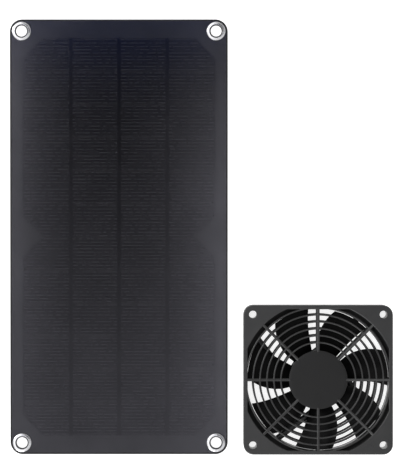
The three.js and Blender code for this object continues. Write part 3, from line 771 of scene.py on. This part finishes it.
def box_plate(box):
    """A block with the box's outline and softened edges, filling a box."""
    low, high = box
    centre = middle_of(box)
    plate = prism(rounded_rectangle(high.x - low.x, high.y - low.y, BOX_CORNER, 12), low.z, high.z)
    return bevelled(moved(plate, centre.x, centre.y), BOX_EDGE, 3)


def box_pocket(box, wall, corner, z0, z1):
    """A cutter for a pocket that leaves a wall all round."""
    low, high = box
    centre = middle_of(box)
    outline = rounded_rectangle(high.x - low.x - 2 * wall, high.y - low.y - 2 * wall, corner, 8)
    return moved(prism(outline, z0, z1), centre.x, centre.y)


def box_base():
    """The tray, its open side towards the lid, with two screw bosses and the lead's outlet."""
    box = tilted_box("junction_box_base")
    low, high = box
    floor_z, hole = high.z - BOX_FLOOR, LID_SCREW_RADIUS + CLEARANCE
    shell = cut(box_plate(box), box_pocket(box, BOX_WALL, 1 * MM, low.z - MM, floor_z))
    bosses = [rod(LID_SCREW_BOSS, low.z, high.z - 0.5 * MM, p.x, p.y) for p in screw_places()]
    holes = [rod(hole, low.z - MM, floor_z, p.x, p.y, 24) for p in screw_places()]
    gland = middle_of(tilted_box("gland_seal"))
    outlet = rod(GLAND_THREAD + CLEARANCE, -2 * MM, BOX_WALL + MM)
    outlet.transform(Matrix.Rotation(-math.pi / 2, 4, "X"))
    outlet.transform(Matrix.Translation((gland.x, low.y, gland.z)))
    body = cut(joined(shell, *bosses), *holes, outlet)
    add_tilted("junction_box_tray", body, [BOX_PLASTIC], "junction_box_base")


def box_lid():
    """The lid, its outside down, with a shallow recess and two counterbored screw holes."""
    box = tilted_box("junction_box_lid")
    low, high = box
    cutters = [box_pocket(box, LID_BORDER, 2 * MM, low.z - MM, low.z + LID_RECESS)]
    for place in screw_places():
        cutters.append(rod(LID_SCREW_RADIUS + 0.2 * MM, low.z - MM, high.z + MM, place.x, place.y, 24))
        cutters.append(rod(LID_SCREW_HEAD + 0.2 * MM, low.z - MM, low.z + 1.1 * MM, place.x, place.y))
    body = cut(box_plate(box), *cutters)
    add_tilted("junction_box_cover", body, [BOX_PLASTIC], "junction_box_lid")


def lid_screw(index):
    """A pan-head screw with a cross recess, its head down."""
    name = f"box_lid_screw_{index}"
    low, high = tilted_box(name)
    centre = middle_of((low, high))
    under = low.z + 0.85 * MM
    edge = 0.3 * MM
    profile = [(0, low.z), (LID_SCREW_HEAD - edge, low.z), (LID_SCREW_HEAD, low.z + edge)]
    profile += [(LID_SCREW_HEAD, under), (LID_SCREW_RADIUS, under)]
    profile += [(LID_SCREW_RADIUS, high.z - 0.8 * MM), (0.4 * MM, high.z), (0, high.z)]
    arm = block(-CROSS_REACH, CROSS_REACH, -CROSS_HALF, CROSS_HALF, low.z - MM, low.z + CROSS_DEPTH)
    body = cut(lathe(profile, 48, closed=False), arm, copied(arm, turn=90))
    mesh = moved(body, centre.x, centre.y)
    add_tilted(name + "_cross", mesh, [STEEL], name, angle=40)


def along_gland(mesh, y):
    """Lays a mesh made about +Z along the gland's axis, its z = 0 at y and its +Z to -Y."""
    gland = middle_of(tilted_box("gland_seal"))
    mesh.transform(Matrix.Rotation(math.pi / 2, 4, "X"))
    mesh.transform(Matrix.Translation((gland.x, y, gland.z)))
    return mesh


def fluted(radius):
    """A round outline with shallow flutes."""
    steps = KNURLS * 8
    outline = []
    for i in range(steps):
        turn = 2 * math.pi * i / steps
        r = radius - KNURL_DEPTH * 0.5 * (1 - math.cos(KNURLS * turn))
        outline.append((r * math.cos(turn), r * math.sin(turn)))
    return outline


def gland_collar():
    """The gland's hexagonal collar, and its thread through the box's wall and into the nut."""
    low, high = tilted_box("gland_body")
    wall = tilted_box("junction_box_base")[0].y
    radius = (high.x - low.x) / 2
    hexagon = [(radius * math.cos(t), radius * math.sin(t)) for t in [math.pi * i / 3 for i in range(6)]]
    collar = prism(hexagon, CLEARANCE, GLAND_COLLAR_LENGTH + CLEARANCE)
    thread = rod(GLAND_THREAD, -BOX_WALL - MM, wall - low.y, steps=48)
    body = joined(bevelled(collar, 0.3 * MM, 2, 25), thread)
    body = cut(body, rod(GLAND_BORE, -10 * MM, 20 * MM))
    add_tilted("gland_collar", along_gland(body, wall), [BOX_PLASTIC], "gland_body")


def gland_nut():
    """The fluted nut, tapering to the lead's outlet."""
    low, high = tilted_box("gland_nut")
    radius, length = (high.x - low.x) / 2, (high.y - low.y) / MM
    rings = []
    for inset, z in ((0.3, 0), (0, 0.3), (0, length - 1.6), (0.5, length - 0.6), (1.2, length)):
        rings.append([(x, y, z * MM) for x, y in fluted(radius - inset * MM)])
    thread = rod(GLAND_THREAD + CLEARANCE, -MM, NUT_THREAD_DEPTH)
    nut = cut(stacked(rings), thread, rod(GLAND_BORE, -MM, 10 * MM))
    add_tilted("gland_cap", along_gland(nut, high.y), [BOX_PLASTIC], "gland_nut", angle=50)


def junction_box():
    box_base()
    box_lid()
    lid_screw(1)
    lid_screw(2)
    gland_collar()
    gland_nut()


# ---------------------------------------------------------------- fan

FAN_LOW, FAN_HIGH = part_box("fan_housing")
FAN_MIDDLE = middle_of((FAN_LOW, FAN_HIGH))
FAN_SIDE = FAN_HIGH.x - FAN_LOW.x
FAN_CORNER = 8 * MM
SCREW_HOLE = 3.1 * MM
SCREW_PLACES = [(sx * 52.5 * MM, sy * 52.5 * MM) for sx in (-1, 1) for sy in (-1, 1)]
PEG_PLACES = [(sx * 56 * MM, sy * 43 * MM) for sx in (-1, 1) for sy in (-1, 1)]
PEG_RADIUS, PEG_HOLE, PEG_LENGTH = 1.2 * MM, 1.35 * MM, 2.8 * MM
FLANGE = 3.5 * MM
DUCT, DUCT_WALL, MOUTH = 57.2 * MM, 2.2 * MM, 62 * MM  # radii of the duct and of its corner mouths
POST = 5 * MM
STRUT_COUNT, STRUT_WIDTH, STRUT_HEIGHT = 4, 5 * MM, 3.4 * MM
STRUT_OFFSET, STRUT_ANGLE = 18.5 * MM, 307.7
MOTOR_BASE, BASE_START, BASE_THICKNESS = 20.5 * MM, 0.35 * MM, 2 * MM
BEARING_HOLE = 4.05 * MM
GROMMET_BORE, GROMMET_NECK, GROMMET_COLLAR = 1.1 * MM, 2.1 * MM, 3.2 * MM
GUARD = 3 * MM
GUARD_EDGE = 0.7 * MM
GUARD_WINDOW = 56.7 * MM
RINGS = [(30 + 5.6 * i) * MM for i in range(6)]
RING_WIDTH = 1.5 * MM
SPOKES = 8
SPOKE_WIDTH = 2.3 * MM
DISC = 23.6 * MM
ROUND_STEPS = 128
CORNER_STEPS = 16
HAIR = 0.01 * MM  # how far a cutter stands past the face that it opens


def fan_placed(mesh, z=0.0):
    """Shifts a mesh made about the fan's axis to where the fan is."""
    return moved(mesh, FAN_MIDDLE.x, FAN_MIDDLE.y, z)


def square(z0, z1, inset=0.0):
    """The fan's square between two heights."""
    side = FAN_SIDE - 2 * inset
    return prism(rounded_rectangle(side, side, FAN_CORNER - inset, CORNER_STEPS), z0, z1)


def truncated_circle(radius, side):
    """A circle with four flat sides, anticlockwise."""
    edge = math.degrees(math.acos(side / radius))
    outline = []
    for quarter in range(4):
        outline += arc(0, 0, radius, 90 * quarter + edge, 90 * (quarter + 1) - edge, CORNER_STEPS)
    return outline


def crowned_bar(width, height, rise):
    """A bar's section with an elliptical top: (across, up) points, anticlockwise."""
    half = width / 2
    turns = [math.pi * i / 10 for i in range(11)]
    top = [(half * math.cos(t), height - rise + rise * math.sin(t)) for t in turns]
    return [(-half, 0.0), (half, 0.0)] + top


def edge_levels(height, edge):
    """(z, setback) pairs that round the lower and the upper edge of a plate."""
    turns = [math.radians(90 * i / 4) for i in range(5)]
    lower = [(edge * (1 - math.cos(t)), edge * (1 - math.sin(t))) for t in turns]
    return lower + [(height - z, setback) for z, setback in reversed(lower)]


def soft_plate(outline, height, edge):
    """A plate with rounded edges; outline(grow) gives its outline, grown outwards."""
    return stacked([[(x, y, z) for x, y in outline(-back)] for z, back in edge_levels(height, edge)])


def soft_cutter(outline, height, edge):
    """The opposite: a cutter that leaves rounded edges round its hole in a plate."""
    levels = [(-MM, edge)] + edge_levels(height, edge) + [(height + MM, edge)]
    return stacked([[(x, y, z) for x, y in outline(back)] for z, back in levels])


def fan_outline(grow):
    side = FAN_SIDE + 2 * grow
    return rounded_rectangle(side, side, FAN_CORNER + grow, CORNER_STEPS)


def window_outline(grow):
    return truncated_circle(MOUTH + grow, GUARD_WINDOW + grow)


def screw_outline(grow):
    return circle(SCREW_HOLE + grow, 40)


def guard_frame():
    """The guard's square frame: the wide opening, the screw holes and softened edges."""
    hole = soft_cutter(screw_outline, GUARD, 0.4 * MM)
    window = soft_cutter(window_outline, GUARD, GUARD_EDGE)
    plate = soft_plate(fan_outline, GUARD, GUARD_EDGE)
    return cut(plate, window, *(copied(hole, x, y) for x, y in SCREW_PLACES))


def guard_ring(radius):
    section = crowned_bar(RING_WIDTH, GUARD - 0.2 * MM, 0.75 * MM)
    return lathe([(radius + across, up) for across, up in section], ROUND_STEPS)


def guard_spoke(index):
    """A bar right across the guard; the slanting ones reach further, into the corners."""
    section = crowned_bar(SPOKE_WIDTH, GUARD - 0.1 * MM, 0.8 * MM)
    reach = (MOUTH if index % 2 else GUARD_WINDOW) + 0.9 * MM
    bar = stacked([[(x, across, up) for across, up in section] for x in (-reach, reach)])
    return moved(bar, turn=360 / SPOKES * index)


def guard_disc():
    """The centre disc, slightly domed, with a rounded rim."""
    rim, dome, steps = 0.9 * MM, 0.3 * MM, 10
    top = GUARD - dome
    profile = [(0, 0), (DISC, 0)] + arc(DISC - rim, top - rim, rim, 0, 85, 6)
    for i in range(1, steps + 1):
        share = 1 - i / steps
        profile.append(((DISC - rim) * share, top + dome * (1 - share**2)))
    return lathe(profile, ROUND_STEPS, closed=False)


def guard_mesh(show_side):
    """A ring guard from z = 0 up; show_side is 1 where its crowned side is up, -1 where it is down."""
    bars = [guard_ring(radius) for radius in RINGS]
    bars += [guard_spoke(index) for index in range(SPOKES // 2)]
    bars = combined(joined(*bars), "INTERSECT", square(-MM, GUARD + MM, 0.8 * MM))
    bars = cut(bars, rod(DISC - MM, -MM, GUARD + MM, steps=ROUND_STEPS))
    pegs = [rod(PEG_RADIUS, -PEG_LENGTH, GUARD - MM, x, y, 24) for x, y in PEG_PLACES]
    whole = joined(guard_frame(), bars, guard_disc(), *pegs)
    if show_side < 0:
        whole.transform(Matrix.Translation((0, 0, GUARD)) @ Matrix.Rotation(math.pi, 4, "X"))
    mark_disc(whole, show_side)
    return whole


def mark_disc(mesh, show_side):
    """Gives the centre disc's show face the second material, which has a finer texture and a darker colour
    that paints in shade.
    """
    for face in mesh.polygons:
        reach = max(mesh.vertices[i].co.xy.length for i in face.vertices)
        on_show = face.normal.z * show_side > 0.3
        face.material_index = 1 if on_show and reach < DISC - 0.3 * MM else 0


def guards():
    plastics = [FAN_PLASTIC, SHADED_DISC_PLASTIC]
    front = fan_placed(guard_mesh(1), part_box("front_guard")[1].z - GUARD)
    add("front_grille", front, "fan_unit", plastics, "front_guard")
    rear = fan_placed(guard_mesh(-1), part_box("rear_guard")[0].z)
    add("rear_grille", rear, "fan_unit", plastics, "rear_guard")


def mouth_cutter(throat, face):
    """The duct's widening into the corners, from its throat height to the flange's face."""
    flat = truncated_circle(DUCT + 0.001 * MM, DUCT)  # a little over, so that the sides have a length
    wide = [(x * MOUTH / DUCT, y * MOUTH / DUCT) for x, y in flat]
    wide = [(max(-DUCT, min(DUCT, x)), max(-DUCT, min(DUCT, y))) for x, y in wide]
    rings = [[(x, y, throat) for x, y in flat], [(x, y, face) for x, y in wide]]
    return stacked(rings if face > throat else rings[::-1])


def housing_struts(z0, z1):
    """Crowned bars that leave the motor base along tangents and run into the duct's wall."""
    section = crowned_bar(STRUT_WIDTH, z1 - z0, 0.9 * MM)
    bars = []
    for i in range(STRUT_COUNT):
        rings = [[(across, -along, z0 + up) for across, up in section] for along in (0, DUCT)]
        bar = moved(stacked(rings), STRUT_OFFSET)
        bars.append(moved(bar, turn=STRUT_ANGLE + 360 / STRUT_COUNT * i))
    return bars


def through_wall(mesh):
    """Turns a mesh made about +Z outwards, to where the lead leaves the duct's wall."""
    place = middle_of(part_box("lead_grommet")) - FAN_MIDDLE
    mesh.transform(Matrix.Rotation(math.pi / 2, 4, "Y"))
    mesh.transform(Matrix.Translation((DUCT, 0, FAN_MIDDLE.z + place.z)))
    return moved(mesh, turn=math.degrees(math.atan2(place.y, place.x)))


def lead_hole():
    """A radial hole through the duct's wall for the grommet."""
    return through_wall(rod(GROMMET_NECK + 0.05 * MM, -4 * MM, 8 * MM))


def housing():
    z0, z1 = FAN_LOW.z, FAN_HIGH.z
    flanges = [bevelled(square(a, a + FLANGE), 0.5 * MM, 3) for a in (z0, z1 - FLANGE)]
    wall = rod(DUCT + DUCT_WALL, z0 + MM, z1 - MM, steps=ROUND_STEPS)
    posts = [rod(POST, z0 + MM, z1 - MM, x, y) for x, y in SCREW_PLACES]
    duct = cut(
        joined(*flanges, wall, *posts),
        rod(DUCT, z0 - MM, z1 + MM, steps=ROUND_STEPS),
        mouth_cutter(z1 - FLANGE, z1 + HAIR),
        mouth_cutter(z0 + FLANGE, z0 - HAIR),
    )
    start = z0 + BASE_START
    base = bevelled(rod(MOTOR_BASE, start, start + BASE_THICKNESS, steps=96), 0.4 * MM, 2)
    spider = joined(base, *housing_struts(start, start + STRUT_HEIGHT))
    spider = combined(spider, "INTERSECT", rod(DUCT + MM, 0, z1, steps=ROUND_STEPS))
    holes = [rod(SCREW_HOLE, z0 - MM, z1 + MM, x, y) for x, y in SCREW_PLACES]
    holes += [rod(PEG_HOLE, z0 - MM, z1 + MM, x, y, 24) for x, y in PEG_PLACES]
    whole = cut(joined(duct, spider), rod(BEARING_HOLE, 0, z1), *holes, lead_hole())
    add("fan_shell", fan_placed(whole), "fan_unit", [FAN_PLASTIC], "fan_housing")


def grommet():
    """The rubber bush in the duct's wall, its collar outside."""
    outside = DUCT_WALL + 0.1 * MM
    end, start, edge = outside + 2 * MM, 0.4 * MM, 0.8 * MM
    profile = [(GROMMET_BORE, start), (GROMMET_NECK, start), (GROMMET_NECK, outside)]
    profile += [(GROMMET_COLLAR, outside)] + arc(GROMMET_COLLAR - edge, end - edge, edge, 0, 90, 6)
    profile.append((GROMMET_BORE, end))
    mesh = through_wall(lathe(profile, 48))
    add("lead_bush", fan_placed(mesh), "fan_unit", [RUBBER], "lead_grommet")


# ---------------------------------------------------------------- impeller

HUB = 21.5 * MM
HUB_INNER = 19.35 * MM
HUB_EDGE = 1.4 * MM
HUB_TOP = 2.2 * MM
HUB_BOSS, BOSS_DEPTH = 4.4 * MM, 2.4 * MM
HUB_SKIN = 1.55 * MM  # what covers the shaft's end
SHAFT_HOLE = 1.55 * MM
BLADES = 7
TIP = 56.8 * MM
BLADE_ROOT = HUB - 0.6 * MM
SWEEP_START = 27 * MM
BLADE_THICKNESS = 1.7 * MM
BLADE_MIDDLE = 16.2 * MM
ROOT_RISE, TIP_RISE, CAMBER = 14 * MM, 10 * MM, 6.4 * MM
TRAILING, TRAILING_TIP, LEADING, LEADING_TIP = 101, 97.5, 143.4, 127.5  # degrees about the shaft
TIP_THINNING = 0.35
SPAN_STEPS, CHORD_STEPS = 16, 18


def blade_point(span, chord, side):
    """A point of the blade's surface; side is 1 on its upper face and -1 on its lower one."""
    radius = BLADE_ROOT + (TIP - BLADE_ROOT) * span
    share = max(0.0, (radius - SWEEP_START) / (TIP - SWEEP_START))
    back = TRAILING + (TRAILING_TIP - TRAILING) * share**2
    front = LEADING + (LEADING_TIP - LEADING) * share**1.5
    turn = math.radians(back + (front - back) * chord)
    rise = ROOT_RISE + (TIP_RISE - ROOT_RISE) * span
    fullness = max(0.0, 1 - abs(2 * chord - 1) ** 5) ** 0.5
    half = BLADE_THICKNESS / 2 * (1 - TIP_THINNING * span) * fullness
    z = BLADE_MIDDLE + (chord - 0.5) * rise - CAMBER * chord * (1 - chord) + side * half
    return radius * math.cos(turn), radius * math.sin(turn), z


def blade(index):
    """One blade, a closed skin whose sections round off at both edges."""
    chords = [0.5 - 0.5 * math.cos(math.pi * i / CHORD_STEPS) for i in range(CHORD_STEPS + 1)]
    rings = []
    for k in range(SPAN_STEPS + 1):
        span = k / SPAN_STEPS
        upper = [blade_point(span, chord, 1) for chord in chords]
        lower = [blade_point(span, chord, -1) for chord in reversed(chords[1:-1])]
        rings.append(upper + lower)
    return moved(stacked(rings), turn=360 / BLADES * index)


def impeller():
    low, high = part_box("impeller")
    ceiling = high.z - HUB_TOP
    profile = [(HUB_INNER, low.z), (HUB - 0.2 * MM, low.z), (HUB, low.z + 0.2 * MM)]
    profile += arc(HUB - HUB_EDGE, high.z - HUB_EDGE, HUB_EDGE, 0, 90, 8)
    profile += [(0, high.z), (0, ceiling), (HUB_INNER, ceiling)]
    cap = lathe(profile, 96)
    hub = joined(cap, rod(HUB_BOSS, ceiling - BOSS_DEPTH, ceiling + MM))
    hub = cut(hub, rod(SHAFT_HOLE, 0, high.z - HUB_SKIN))
    core = rod(HUB_INNER, 0, ceiling, steps=96)
    blades = [cut(blade(index), core.copy()) for index in range(BLADES)]
    whole = fan_placed(joined(hub, *blades))
    add("fan_blades", whole, "rotor", [BLADE_PLASTIC], "impeller", angle=40)


# ---------------------------------------------------------------- pieces kept from the CAD model


def keep(material, *nodes):
    """Gives CAD nodes a finished material; their shapes stay."""
    for node in nodes:
        materials = frame["nodes"][node].data.materials
        materials.clear()
        materials.append(material)


def carried_over():
    keep(BOX_PLASTIC, "blocking_diode")
    keep(RUBBER, "junction_box_gasket", "gland_seal")
    keep(FOAM, "box_adhesive_pad")
    keep(CIRCUIT, "terminal_board", "driver_board")
    keep(STEEL, "rotor_cup", "shaft", "retaining_clip")
    keep(LAMINATION, "stator_core")
    keep(BRASS, "bearing_tube", "bearing_sleeve")
    keep(COPPER, *(f"coil_{i}" for i in range(1, 5)))
    keep(MAGNET, "magnet_ring")


# ---------------------------------------------------------------- the scene

bpy.context.scene.view_settings.view_transform = "Standard"
camera()
studio()
softbox("key_light", (-1.0, 0.35, 1.1), 0.5, 8.0)
softbox("fill_light", (-0.4, -1.0, 1.0), 0.6, 6.0)
floor()
panel()
junction_box()
housing()
guards()
grommet()
impeller()
carried_over()
